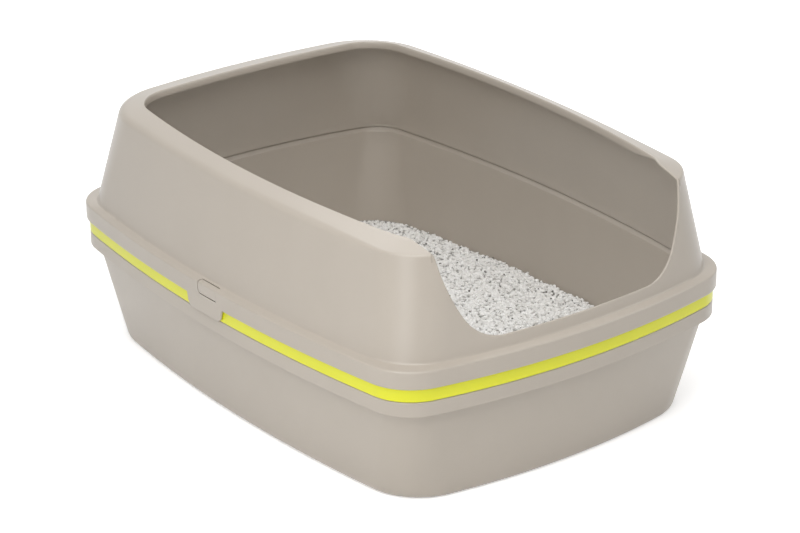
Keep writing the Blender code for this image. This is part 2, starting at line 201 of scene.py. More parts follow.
tongueForm = {
    "root": -13 * mm,
    "length": 25 * mm,
    "drop": 10.7 * mm,
    "reach": 4.1 * mm,
    "corner": 3.5 * mm,
    "slit": 0.9 * mm,
    "rootGap": 0.15 * mm,
    "edge": 0.2 * mm,
    "edgeAngle": 50,
    "edgeWeld": 0.05 * mm,
    "clear": 5 * mm,  # how far the cutting block stands out
    "cornerSegments": 10,
    "backShare": 0.9,
    "backSegments": 6,
    "tolerance": 0.01 * mm,
}

# plans: a rectangle with bowed edges and round corners


def makePlan(length, width, sideArc, endArc, corner):
    sideCentre = Vector((width / 2 - sideArc, 0))
    endCentre = Vector((0, length / 2 - endArc))
    sideReach = sideArc - corner
    endReach = endArc - corner
    span = endCentre - sideCentre
    along = (sideReach**2 - endReach**2 + span.length**2) / (2 * span.length)
    across = math.sqrt(sideReach**2 - along**2)
    direction = span.normalized()
    middle = sideCentre + direction * along + Vector((-direction.y, direction.x)) * across
    return {
        "sideCentre": sideCentre,
        "endCentre": endCentre,
        "cornerCentre": middle,
        "sideArc": sideArc,
        "endArc": endArc,
        "corner": corner,
        "sideEnd": math.atan2(middle.y - sideCentre.y, middle.x - sideCentre.x),
        "cornerEnd": math.atan2(middle.y - endCentre.y, middle.x - endCentre.x),
    }


def fromFront(stations):
    return np.where(stations > 6, 12 - stations, stations)


def planPoints(plan, inset, stations):
    # stations: 0 at the front middle, 3 at the side middle and 6 at the back middle; 6 to 12 mirror this
    half = fromFront(stations)
    place = np.where(half < 3, 3 - half, half - 3)
    side, corner, end = plan["sideCentre"], plan["cornerCentre"], plan["endCentre"]

    def pick(onSide, onCorner, onEnd):
        return np.where(place <= 1, onSide, np.where(place <= 2, onCorner, onEnd))

    alongCorner = plan["sideEnd"] + (plan["cornerEnd"] - plan["sideEnd"]) * (place - 1)
    alongEnd = plan["cornerEnd"] + (math.pi / 2 - plan["cornerEnd"]) * (place - 2)
    angle = pick(plan["sideEnd"] * place, alongCorner, alongEnd)
    radius = pick(plan["sideArc"], plan["corner"], plan["endArc"]) - inset
    x = (pick(side.x, corner.x, end.x) + radius * np.cos(angle)) * np.where(stations > 6, -1, 1)
    y = (pick(side.y, corner.y, end.y) + radius * np.sin(angle)) * np.where(half < 3, -1, 1)
    x = np.where((stations == 0) | (stations == 6), 0.0, x)
    return np.stack([x, y], axis=-1)


def ringAt(plan, inset, height, stations):
    points = planPoints(plan, inset, stations)
    return np.concatenate([points, np.broadcast_to(height, stations.shape)[..., None]], axis=-1)


rimPlan = makePlan(rimLength, rimWidth, **rimForm)


def insetPlan(side, end, sideArc, endArc, corner):
    # inset from the rim
    return makePlan(rimLength - 2 * end, rimWidth - 2 * side, sideArc, endArc, corner)


def wallPlan(depth):
    # outer face of a pan's wall at a depth below its lip
    side = panForm["lipReach"] + panForm["sideDraft"] * depth
    end = panForm["lipReach"] + panForm["endDraft"] * depth
    corner = rimForm["corner"] - panForm["lipReach"] + panForm["cornerDraft"] * depth
    return insetPlan(side, end, rimForm["sideArc"] - side, rimForm["endArc"] - end, corner)


# sections


def softSection(corners, steps=sectionForm["steps"]):
    # corners are (inset, height, radius); each is rounded, and long runs get more points
    points = []
    count = len(corners)
    cuts = []
    for i, (u, v, radius) in enumerate(corners):
        here = Vector((u, v))
        if i in (0, count - 1) or radius == 0:
            cuts.append((here, here, None))
            continue
        before = (Vector(corners[i - 1][:2]) - here).normalized()
        after = (Vector(corners[i + 1][:2]) - here).normalized()
        opening = before.angle(after)
        reach = radius / math.tan(opening / 2)
        cuts.append((here + before * reach, here + after * reach, (here, radius, before, after, opening)))
    for i, (start, end, fillet) in enumerate(cuts):
        if fillet is None:
            points.append(start)
        else:
            here, radius, before, after, opening = fillet
            centre = here + (before + after).normalized() * radius / math.sin(opening / 2)
            first = start - centre
            turn = math.pi - opening
            sign = 1 if first.x * (end - centre).y - first.y * (end - centre).x > 0 else -1
            for step in range(steps + 1):
                angle = sign * turn * step / steps
                c, s = math.cos(angle), math.sin(angle)
                points.append(centre + Vector((c * first.x - s * first.y, s * first.x + c * first.y)))
        if i + 1 < count:
            gap = cuts[i + 1][0] - end
            support = min(sectionForm["support"], gap.length / 4)
            marks = []
            if gap.length > sectionForm["shortest"]:
                pieces = max(1, math.ceil((gap.length - 2 * support) / sectionForm["longest"]))
                marks = [support + (gap.length - 2 * support) * k / pieces for k in range(pieces + 1)]
            points += [end + gap.normalized() * mark for mark in marks]
    return [(p.x, p.y) for p in points]


def panSection(base):
    form = panForm
    rim = base + panHeight
    lip = rim - pitch + form["lipGap"]
    stepLow = lip + form["stepCover"]
    stepInset = form["lipReach"] - form["sideDraft"] * form["stepCover"]
    stepHigh = stepLow + stepInset - form["rimInset"]
    shift = form["wall"] * math.tan(math.pi / 8)
    innerRim = form["rimInset"] + form["wall"]
    innerFloor = base + form["floor"]
    outerCorner = form["lipReach"] + form["sideDraft"] * (lip - base)
    innerCorner = form["lipReach"] + form["sideDraft"] * (lip - innerFloor) + form["wall"]
    corners = [
        (form["floorRing"], base, 0),
        (outerCorner, base, form["floorEdge"]),
        (stepInset, stepLow, form["stepRound"]),
        (form["rimInset"], stepHigh, form["stepTopRound"]),
        (form["rimInset"], rim - form["flange"], form["flangeRound"]),
        (form["lipThickness"], rim - form["flange"], form["flangeRound"]),
        (form["lipThickness"], lip, form["lipInnerRound"]),
        (0, lip, form["lipFootRound"]),
        (0, rim, form["lipEdge"]),
        (innerRim, rim, form["rimInnerRound"]),
        (innerRim, stepHigh + shift, form["stepRound"]),
        (stepInset - form["sideDraft"] * shift + form["wall"], stepLow + shift, form["stepRound"]),
        (innerCorner, innerFloor, form["floorEdge"] - form["floor"]),
        (form["floorRing"], innerFloor, 0),
    ]
    return softSection(corners), lip, stepLow


def evenStations(quarter):
    # for its length, the corner gets the most columns
    place = [
        start + k / (share * quarter)
        for start, share in enumerate(panForm["columnShares"])
        for k in range(int(share * quarter))
    ]
    place.append(3.0)
    front = [3 - p for p in reversed(place)]
    half = front + [3 + p for p in place[1:]]
    return np.array(half + [12 - s for s in half[-2:0:-1]])


# making meshes


def selectOnly(piece):
    bpy.ops.object.select_all(action="DESELECT")
    piece.select_set(True)
    bpy.context.view_layer.objects.active = piece


def sweepRows(name, rows, looped):
    # a circle is laid on the first row and extruded from row to row
    bpy.ops.object.select_all(action="DESELECT")
    bpy.ops.mesh.primitive_circle_add(vertices=len(rows[0]), radius=rimWidth / 2)
    piece = bpy.context.object
    piece.name = name
    piece.data.name = name
    bpy.ops.object.mode_set(mode="EDIT")
    mesh = bmesh.from_edit_mesh(piece.data)
    column = mesh.verts.layers.int.new("column")
    for i, vert in enumerate(mesh.verts):
        vert[column] = i
        vert.co = rows[0][i]
    for row in rows[1:]:
        bpy.ops.mesh.extrude_edges_move()
        mesh = bmesh.from_edit_mesh(piece.data)
        column = mesh.verts.layers.int["column"]
        for vert in mesh.verts:
            if vert.select:
                vert.co = row[vert[column]]
    if not looped:
        bpy.ops.mesh.edge_face_add()
    bpy.ops.mesh.select_all(action="SELECT")
    bpy.ops.mesh.remove_doubles(threshold=weld)
    if not looped:
        bpy.ops.mesh.select_all(action="DESELECT")
        bpy.ops.mesh.select_non_manifold()
        bpy.ops.mesh.edge_face_add()
        bpy.ops.mesh.select_all(action="SELECT")
    bpy.ops.mesh.normals_make_consistent(inside=False)
    mesh = bmesh.from_edit_mesh(piece.data)
    mesh.verts.layers.int.remove(mesh.verts.layers.int["column"])
    bmesh.update_edit_mesh(piece.data)
    bpy.ops.object.mode_set(mode="OBJECT")
    bpy.ops.object.transform_apply(location=True, rotation=True, scale=True)
    return piece


def smoothByAngle(piece, degrees=crispAngle):
    selectOnly(piece)
    bpy.ops.object.shade_smooth_by_angle(angle=math.radians(degrees))


def cutWith(piece, cutter, operation="DIFFERENCE"):
    modifier = piece.modifiers.new("cut", "BOOLEAN")
    modifier.operation = operation
    modifier.solver = "EXACT"
    modifier.object = cutter
    selectOnly(piece)
    bpy.ops.object.modifier_apply(modifier=modifier.name)
    bpy.data.objects.remove(cutter, do_unlink=True)


def addBlock(centre, size):
    bpy.ops.object.select_all(action="DESELECT")
    bpy.ops.mesh.primitive_cube_add(size=1, location=centre)
    block = bpy.context.object
    block.scale = size
    bpy.ops.object.transform_apply(location=True, rotation=True, scale=True)
    return block


def roundEdges(piece, chosen, radius, segments):
    # chosen says of two corners whether the edge between them is rounded
    selectOnly(piece)
    bpy.ops.object.mode_set(mode="EDIT")
    mesh = bmesh.from_edit_mesh(piece.data)
    for edge in mesh.edges:
        edge.select = chosen(edge.verts[0].co, edge.verts[1].co)
    bmesh.update_edit_mesh(piece.data)
    bpy.ops.mesh.bevel(offset=radius, segments=segments, affect="EDGES")
    bpy.ops.object.mode_set(mode="OBJECT")


def copyOf(piece, name):
    double = piece.copy()
    double.data = piece.data.copy()
    double.name = name
    double.data.name = name
    bpy.context.scene.collection.objects.link(double)
    return double


# pans and tray


def makePan(name, base):
    section, lip, stepLow = panSection(base)
    stations = evenStations(panForm["columns"])
    rows = []
    for inset, height in section:
        if height < stepLow:
            side = panForm["lipReach"] + panForm["sideDraft"] * (lip - height)
            rows.append(ringAt(wallPlan(lip - height), inset - side, height, stations))
        else:
            rows.append(ringAt(rimPlan, inset, height, stations))
    return sweepRows(name, rows, looped=False)


def makeSlots(base):
    # one slot is modelled, then copied over the flat of the floor
    form = slotForm
    lipDepth = panHeight - pitch
    margin = panForm["lipReach"] + panForm["floorEdge"] + form["margin"]
    halfWidth = rimWidth / 2 - margin - panForm["sideDraft"] * lipDepth
    halfLength = rimLength / 2 - margin - panForm["endDraft"] * lipDepth
    columnPitch = form["width"] + form["web"]
    rowPitch = form["length"] + form["bridge"]
    columns = int((2 * halfWidth + form["web"]) / columnPitch)
    rows = int((2 * halfLength + form["bridge"]) / rowPitch)
    slot = addBlock((0, 0, base), (form["width"], form["length"], form["cutHeight"]))

    def upright(a, b):
        return abs(a.z - b.z) > panForm["floor"]

    roundEdges(slot, upright, form["width"] / 2, form["segments"])
    copies = []
    for column in range(columns):
        for row in range(rows):
            double = copyOf(slot, "slotCut")
            x = (column - (columns - 1) / 2) * columnPitch
            y = (row - (rows - 1) / 2) * rowPitch
            double.data.transform(Matrix.Translation((x, y, 0)))
            copies.append(double)
    bpy.data.objects.remove(slot, do_unlink=True)
    bpy.ops.object.select_all(action="DESELECT")
    for double in copies:
        double.select_set(True)
    bpy.context.view_layer.objects.active = copies[0]
    bpy.ops.object.join()
    return bpy.context.object


basePan = makePan("basePan", baseLow.z)
smoothByAngle(basePan)
siftingTray = copyOf(basePan, "siftingTray")
siftingTray.data.transform(Matrix.Translation((0, 0, trayLow.z - baseLow.z)))
litterPan = copyOf(basePan, "litterPan")
litterPan.data.transform(Matrix.Translation((0, 0, panLow.z - baseLow.z)))
cutWith(siftingTray, makeSlots(trayLow.z))
smoothByAngle(siftingTray)
print("pans and sifting tray made")

# shield

skirtFace = -skirtReach
wallFoot = skirtFace + shieldForm["shoulderWidth"]
creaseHeight = shoulderTop + shieldForm["upright"]
wallFootArcs = (rimForm["sideArc"] - wallFoot, rimForm["endArc"] - wallFoot)
wallFootPlan = insetPlan(wallFoot, wallFoot, *wallFootArcs, shieldForm["wallCorner"])


def bevelPlans(line):
    # the corners beside the entry notch differ from those at the back
    insets = [shieldForm[line + part] for part in ("Side", "End", "SideArc", "EndArc")]
    return {
        "front": insetPlan(*insets, shieldForm[line + "Front"]),
        "back": insetPlan(*insets, shieldForm[line + "Corner"]),
    }


creasePlans = bevelPlans("crease")
openingPlans = bevelPlans("opening")


def sloped(ring):
    # the back end stands a little higher than the front
    raised = ring.copy()
    raised[..., 2] += shieldForm["backRise"] * ring[..., 1] / rimLength
    return raised


def slopedRing(plans, height, stations):
    # the front half of one plan and the back half of the other
    front = ringAt(plans["front"], 0, height, stations)
    back = ringAt(plans["back"], 0, height, stations)
    return sloped(np.where((fromFront(stations) < 3)[..., None], front, back))


def bezier(start, control, end, share):
    return start * (1 - share) ** 2 + control * 2 * share * (1 - share) + end * share**2


def unit(vectors):
    return vectors / np.maximum(np.linalg.norm(vectors, axis=-1, keepdims=True), 1e-12)


def creaseSpan(stations):
    # climbs between which the crease is rounded: crisp round the front corners and soft elsewhere
    form = shieldForm
    share = np.clip((fromFront(stations) - form["crispEnd"]) / form["softRun"], 0, 1)
    share = share**2 * (3 - 2 * share)
    softness = form["creaseCrisp"] + (form["creaseSoftness"] - form["creaseCrisp"]) * share
    bevel = form["openingSide"] - form["creaseSide"]
    return 1 - softness / form["upright"], 1 + softness / bevel


def shieldSkin(stations, climb):
    # outer face: climb runs from 0 above the shoulder's fillet to 1 at the crease and 2 at the opening
    foot = ringAt(wallFootPlan, 0, shoulderTop + shieldForm["fillet"], stations)
    crease = slopedRing(creasePlans, creaseHeight, stations)
    opening = slopedRing(openingPlans, creaseHeight + shieldForm["bevelRise"], stations)
    low, high = (side[..., None] for side in creaseSpan(stations))
    climb = np.broadcast_to(climb, stations.shape)[..., None]
    upright = foot + (crease - foot) * climb
    bevel = crease + (opening - crease) * (climb - 1)
    share = np.clip((climb - low) / (high - low), 0, 1)
    start = foot + (crease - foot) * low
    end = crease + (opening - crease) * (high - 1)
    bend = bezier(start, crease, end, share)
    return np.where(climb <= low, upright, np.where(climb >= high, bevel, bend))


def shieldNormal(stations, climb):
    nudge = 1e-3
    around = shieldSkin((stations + nudge) % 12, climb) - shieldSkin((stations - nudge) % 12, climb)
    climb = np.broadcast_to(climb, stations.shape)
    above = shieldSkin(stations, np.minimum(climb + nudge, 2))
    below = shieldSkin(stations, np.maximum(climb - nudge, 0))
    return unit(np.cross(around, above - below))


sill = shoulderTop + notchForm["sill"]
reach = notchForm["highRadius"] - notchForm["lowRadius"]
curve = notchForm["highRadius"] * math.sin(notchForm["sideAngle"]) - reach * math.sin(notchForm["lowAngle"])
sillHalf = rimWidth / 2 - notchForm["margin"] - curve
lowCentre = (sillHalf, sill + notchForm["lowRadius"])
highCentre = (
    lowCentre[0] - reach * math.sin(notchForm["lowAngle"]),
    lowCentre[1] + reach * math.cos(notchForm["lowAngle"]),
)
lowEnd = lowCentre[0] + notchForm["lowRadius"] * math.sin(notchForm["lowAngle"])
highEnd = highCentre[0] + notchForm["highRadius"] * math.sin(notchForm["sideAngle"])
highTop = highCentre[1] - notchForm["highRadius"] * math.cos(notchForm["sideAngle"])


def notchHeight(x):
    x = np.abs(x)
    low = lowCentre[1] - np.sqrt(np.maximum(notchForm["lowRadius"] ** 2 - (x - lowCentre[0]) ** 2, 0))
    high = highCentre[1] - np.sqrt(np.maximum(notchForm["highRadius"] ** 2 - (x - highCentre[0]) ** 2, 0))
    side = highTop + (x - highEnd) * math.tan(notchForm["sideAngle"])
    return np.where(x < sillHalf, sill, np.where(x < lowEnd, low, np.where(x < highEnd, high, side)))


openingCorner = openingPlans["front"]["cornerCentre"]


def inNotch(points):
    # through the front wall and its bevel, with the corner at the opening rounded off
    x, y, z = np.abs(points[..., 0]), points[..., 1], points[..., 2]
    front = y < -openingCorner.y
    inward = x - notchForm["flare"] * np.clip((z - creaseHeight) / shieldForm["bevelRise"], 0, 1)
    through = z > notchHeight(inward)
    sine, cosine = math.sin(notchForm["sideAngle"]), math.cos(notchForm["sideAngle"])
    side = (inward - highEnd) * sine - (z - highTop) * cosine
    radius = notchForm["cornerRound"]
    beside = np.clip(radius - side, 0, radius)
    apart = np.hypot(x - openingCorner.x, y + openingCorner.y)
    behind = np.clip(radius + shieldForm["openingFront"] - apart, 0, radius)
    rounded = (beside**2 + behind**2 > radius**2) & (z > creaseHeight - radius)
    return front & (through | rounded)


def edgeClimb(stations):
    # how far up each column goes before it meets the notch or the opening
    climbs = np.linspace(0, 2, shieldForm["tries"])
    grid = np.broadcast_to(stations[:, None], (len(stations), len(climbs)))
    holes = inNotch(shieldSkin(grid, np.broadcast_to(climbs, grid.shape)))
    cut = holes.any(axis=1)
    first = np.where(cut, holes.argmax(axis=1), len(climbs) - 1)
    high = climbs[first]
    low = climbs[np.maximum(first - 1, 0)]
    for _ in range(shieldForm["halvings"]):
        middle = (low + high) / 2
        inside = inNotch(shieldSkin(stations, middle))
        high = np.where(inside, middle, high)
        low = np.where(inside, low, middle)
    return np.where(cut, high, 2.0)


def tabDrop(y):
    # how far the skirt's edge drops at a place along the side
    form = tabForm
    near = form["centre"] - form["width"] / 2
    far = form["centre"] + form["width"] / 2
    inward = np.minimum(y - near, far - y)
    straight = form["drop"] - form["corner"]
    side = np.clip((inward + form["slant"]) / (2 * form["slant"]), 0, 1) * straight
    rounding = np.clip((inward - form["slant"]) / form["corner"], 0, 1)
    return side + form["corner"] * np.sqrt(1 - (1 - rounding) ** 2)


def stationOf(y):
    # station on the side arc of the skirt at a place along the box
    angle = math.asin(abs(y) / (rimForm["sideArc"] - skirtFace))
    return 3 + math.copysign(angle / rimPlan["sideEnd"], y)


def shieldStations():
    # columns all round, and more where the latch tabs begin and end
    form = tabForm
    plain = [start + k / count for start, count in enumerate(shieldForm["columns"]) for k in range(count)]
    plain.append(6.0)
    special = []
    for sign in (-1, 1):
        edge = form["centre"] + sign * form["width"] / 2
        offsets = [form["slant"] + form["beside"], form["slant"], 0, -form["slant"]]
        for step in range(1, form["cornerSteps"] + 1):
            turn = step / form["cornerSteps"] * math.pi / 2
            offsets.append(-form["slant"] - form["corner"] * (1 - math.cos(turn)))
        special += [stationOf(edge + sign * offset) for offset in offsets]
    apart = form["spacing"] / (rimLength / 2)
    kept = [s for s in plain if all(abs(s - t) > 2 * apart for t in special)]
    half = sorted(kept + special)
    return np.array(half + [12 - s for s in half[-2:0:-1]])


def alongRing(points):
    return unit(np.roll(points, -1, axis=0) - np.roll(points, 1, axis=0))


def between(start, end, shares):
    return [start + (end - start) * share for share in shares]


def roundEdge(outer, middle, inner, steps):
    # rows over a free edge, from the outer face to the inner one
    centre = (outer + inner) / 2
    across, out = (outer - inner) / 2, middle - centre
    turns = [math.pi * step / steps for step in range(1, steps)]
    return [centre + across * math.cos(turn) + out * math.sin(turn) for turn in turns]


def skirtEdge(stations):
    # outer, middle and inner row of the free bottom edge, with the latch tabs
    face = ringAt(rimPlan, skirtFace, 0.0, stations)
    level = alongRing(face)
    drop = np.where(np.abs(stations % 6 - 3) < tabForm["reach"], tabDrop(face[:, 1]), 0)
    face[:, 2] = shoulderTop - shieldForm["skirtDepth"] - drop
    normal = np.cross(level, np.array([0.0, 0.0, 1.0]))
    downward = -unit(np.cross(normal, alongRing(face)))
    outer = face - downward * shieldForm["bottomRound"]
    return outer, face - normal * shieldForm["wall"] / 2, outer - normal * shieldForm["wall"]


def shoulderRows(stations, bottom):
    # up the skirt, over the shoulder and round the fillet to the upright wall
    form = shieldForm
    fall, radius = form["shoulderFall"], form["shoulderRadius"]
    run = form["shoulderWidth"] - radius - form["fillet"]
    corners = [
        (skirtFace, shoulderTop - fall - 3 * radius, 0),
        (skirtFace, shoulderTop - fall - radius * fall / run, radius),
        (skirtFace + form["shoulderWidth"] - form["fillet"], shoulderTop, 0),
    ]
    # the section's last three points give way to the fillet
    section = softSection(corners, form["softSteps"])[:-3]
    shoulder = [ringAt(rimPlan, inset, height, stations) for inset, height in section]
    start = ringAt(wallFootPlan, -form["fillet"], shoulderTop, stations)
    control = shieldSkin(stations, -form["fillet"] / (form["upright"] - form["fillet"]))
    end = shieldSkin(stations, form["filletEnd"])
    steps = form["smallSteps"]
    rows = between(bottom, shoulder[0], form["skirtShares"]) + shoulder
    rows += between(shoulder[-1], start, form["shoulderShares"])
    return rows + [bezier(start, control, end, step / steps) for step in range(steps + 1)]


def climbsFrom(first, stations):
    # climbs of the rows over the upright wall, the crease and the bevel
    low, high = creaseSpan(stations)
    edge, steps, soft = shieldForm["uprightEdge"], shieldForm["uprightSteps"], shieldForm["softSteps"]
    shares = [edge] + [k / steps for k in range(1, steps)] + [1 - edge]
    climbs = between(first, low, shares) + between(low, high, [k / soft for k in range(soft + 1)])
    return climbs + between(high, shieldForm["bevelEnd"], shieldForm["bevelShares"])


def footRows(stations, lining, bottom):
    # down inside to the foot, then round under the shoulder to the skirt
    form = shieldForm
    inner = wallFoot + form["wall"]
    flange = panForm["rimInset"] + panForm["wall"] + form["skirtGap"]
    stepInset = panForm["lipReach"] - panForm["sideDraft"] * panForm["stepCover"]
    stepRise = stepInset - panForm["rimInset"] + panForm["wall"] * math.tan(math.pi / 8)
    foot = panLip + panForm["stepCover"] + stepRise + form["footGap"]
    under = panHigh.z + form["underGap"]
    straight = foot + form["footStraight"]
    corners = [
        (inner, straight, 0),
        (inner, foot, form["footRound"]),
        (flange, foot, form["footInnerRound"]),
        (flange, under, form["underRound"]),
        (-form["skirtGap"], under, form["skirtRound"]),
        (-form["skirtGap"], under - form["skirtStart"], 0),
    ]
    control = ringAt(wallFootPlan, form["wall"], shoulderTop, stations)
    end = ringAt(rimPlan, inner, straight, stations)
    steps = form["softSteps"]
    rows = [bezier(lining, control, end, step / steps) for step in range(1, steps)]
    section = softSection(corners, form["lowerSteps"])
    rows += [ringAt(rimPlan, inset, height, stations) for inset, height in section]
    return rows + between(rows[-1], bottom, form["underShares"])


def makeShield():
    form = shieldForm
    stations = shieldStations()
    wall = form["wall"]

    # free top edge, round the opening and down the notch
    top = edgeClimb(stations)
    edge = shieldSkin(stations, top)
    normal = shieldNormal(stations, top)
    outward = unit(np.cross(normal, alongRing(edge)))
    topOuter = edge - outward * form["edgeRound"]

    # the edge of the opening is turned down
    opens = top > form["reachesOpening"]
    fade = np.clip((edge[:, 1] - edge[opens, 1].min()) / form["turnFade"], 0, 1)
    turned = np.where(opens, form["turnDown"] * fade, 0)[:, None] * np.array([0.0, 0.0, 1.0])
    topMiddle = edge - normal * wall / 2 - turned / 2
    topInner = topOuter - normal * wall - turned

    def stopAtEdge(climb, point, stop):
        # upright wall, crease and bevel are stopped short where the notch is
        room = np.sum((edge - shieldSkin(stations, climb)) * outward, axis=-1)
        near = room < form["edgeRound"] + form["stopRoom"]
        stopped = (climb > top - form["stopClimb"]) | near & (climb > top - form["stopReach"])
        return np.where(stopped[:, None], stop, point)

    liningStart = np.minimum(form["liningBlend"], top / 2)
    outerClimbs = climbsFrom(form["filletEnd"], stations)
    liningRows = [
        stopAtEdge(climb, shieldSkin(stations, climb) - shieldNormal(stations, climb) * wall, topInner)
        for climb in [liningStart] + climbsFrom(liningStart, stations)
    ]
    bottomOuter, bottomMiddle, bottomInner = skirtEdge(stations)
    rows = [bottomInner]
    rows += roundEdge(bottomOuter, bottomMiddle, bottomInner, form["smallSteps"])[::-1]
    rows += shoulderRows(stations, bottomOuter)
    rows += [stopAtEdge(climb, shieldSkin(stations, climb), topOuter) for climb in outerClimbs]
    rows += [topOuter] + roundEdge(topOuter, topMiddle, topInner, form["softSteps"]) + [topInner]
    rows += liningRows[::-1]
    rows += footRows(stations, liningRows[0], bottomInner)
    return sweepRows("entryShield", rows, looped=True)


def tonguePrism(side, grow, root):
    # a block round one latch tongue, with its free lower corner rounded
    form = tongueForm
    face = rimWidth / 2 + skirtReach
    outer = face + form["clear"]
    inner = face - form["reach"] - grow
    low = shoulderTop - form["drop"] - grow
    near = form["root"] - root
    far = form["root"] + form["length"] + grow
    top = shoulderTop + form["clear"]
    centre = (side * (inner + outer) / 2, (near + far) / 2, (low + top) / 2)
    block = addBlock(centre, (outer - inner, far - near, top - low))
    tolerance = form["tolerance"]

    def freeCorner(a, b):
        return all(abs(v.y - far) < tolerance and abs(v.z - low) < tolerance for v in (a, b))

    def backCorner(a, b):
        return all(abs(v.y - far) < tolerance and abs(v.x - side * inner) < tolerance for v in (a, b))

    backRadius = (form["reach"] - shieldForm["wall"]) * form["backShare"] + grow
    roundEdges(block, freeCorner, form["corner"] + grow, form["cornerSegments"])
    roundEdges(block, backCorner, backRadius, form["backSegments"])
    return block


def softenSharp(piece):
    selectOnly(piece)
    bpy.ops.object.mode_set(mode="EDIT")
    bpy.ops.mesh.select_all(action="SELECT")
    bpy.ops.mesh.remove_doubles(threshold=tongueForm["edgeWeld"])
    bpy.ops.mesh.select_all(action="DESELECT")
    bpy.ops.mesh.select_mode(type="EDGE")
    bpy.ops.mesh.edges_select_sharp(sharpness=math.radians(tongueForm["edgeAngle"]))
    bpy.ops.mesh.bevel(offset=tongueForm["edge"], segments=2, affect="EDGES", clamp_overlap=True)
    bpy.ops.mesh.select_mode(type="VERT")
    bpy.ops.object.mode_set(mode="OBJECT")


shield = makeShield()
print("shield swept")
tongues = {}
for side, label in ((-1, "Left"), (1, "Right")):
    tongue = copyOf(shield, "latchTongue" + label)
    cutWith(tongue, tonguePrism(side, 0, 0), "INTERSECT")
    softenSharp(tongue)
    smoothByAngle(tongue)
    tongues[label] = tongue
for side in (-1, 1):
    cutWith(shield, tonguePrism(side, tongueForm["slit"], tongueForm["rootGap"]))
smoothByAngle(shield)
print("shield and latches made")

# litter

litterForm = {
    "gap": 0.5 * mm,
    "depth": 7.8 * mm,  # in the middle of the pan
    "slope": 0.018,  # it lies deeper towards the entry
    "lumpHeight": 2.4 * mm,
    "lumpPitch": 58 * mm,
    "rings": 34,
    "columns": 48,  # around a quarter of the plan
    "footRows": ((3, 0), (1, 0), (0.3, 0.3), (0, 1)),  # inset and height, as shares of the pan's inner corner
    "underGrains": 0.6 * mm,
    "crispAngle": 60,
    "variants": 14,
    "roughness": 0.24,
    "stretch": ((0.85, 1.3), (0.75, 1.05), (0.6, 0.9)),
    "rowPitch": 0.87,  # as a share of the spacing in a row
    "jitter": 0.4,
    "tilt": 0.7,
    "unevenness": 1.0 * mm,
    "darkTone": (0.0, 0.15),
    "paleTone": (0.6, 1.0),
    "darkSize": 0.55,
    "least": 0.5,  # share of its size that a granule beside the wall may shrink to
    "seed": 11,
}
grainForm = {"spacing": 4.05 * mm, "smallest": 1.9 * mm, "largest": 2.8 * mm, "rise": -0.1 * mm, "dark": 0.0}
crumbForm = {"spacing": 4.7 * mm, "smallest": 1.1 * mm, "largest": 2.2 * mm, "rise": 0.9 * mm, "dark": 0.09}


def litterTop(x, y):
    turn = 2 * math.pi / litterForm["lumpPitch"]
    lump = math.sin(turn * (x + y / 2)) * math.cos(turn * (y - x / 3))
    return bedEdge - litterForm["slope"] * y + litterForm["lumpHeight"] / 2 * lump


bedEdge = bedLow.z + litterForm["depth"]
bedStations = evenStations(litterForm["columns"])


def makeBed():
    corner = panForm["floorEdge"] - panForm["floor"]
    bedInset = panForm["wall"] + litterForm["gap"]
    rows = []
    for inset, rise in litterForm["footRows"]:
        height = bedLow.z + corner * rise
        rows.append(ringAt(wallPlan(panLip - height), bedInset + corner * inset, height, bedStations))
    rim = ringAt(wallPlan(panLip - bedEdge), bedInset, bedEdge, bedStations)
    for step in range(litterForm["rings"]):
        row = rim.copy()
        row[:, :2] *= 1 - step / litterForm["rings"]
        row[:, 2] = [litterTop(x, y) - litterForm["underGrains"] for x, y in row[:, :2]]
        rows.append(row)
    return sweepRows("litterBed", rows, looped=False)


def granuleShapes(chance):
    shapes = []
    for _ in range(litterForm["variants"]):
        bpy.ops.object.select_all(action="DESELECT")
        bpy.ops.mesh.primitive_ico_sphere_add(subdivisions=1, radius=1)
        grain = bpy.context.object
        points = np.array([v.co for v in grain.data.vertices])
        points *= 1 + np.array([chance.uniform(-1, 1) for _ in points])[:, None] * litterForm["roughness"]
        points *= np.array([chance.uniform(*reach) for reach in litterForm["stretch"]])
        faces = np.array([list(p.vertices) for p in grain.data.polygons])
        shapes.append((points, faces))
        bpy.data.objects.remove(grain, do_unlink=True)
    return shapes


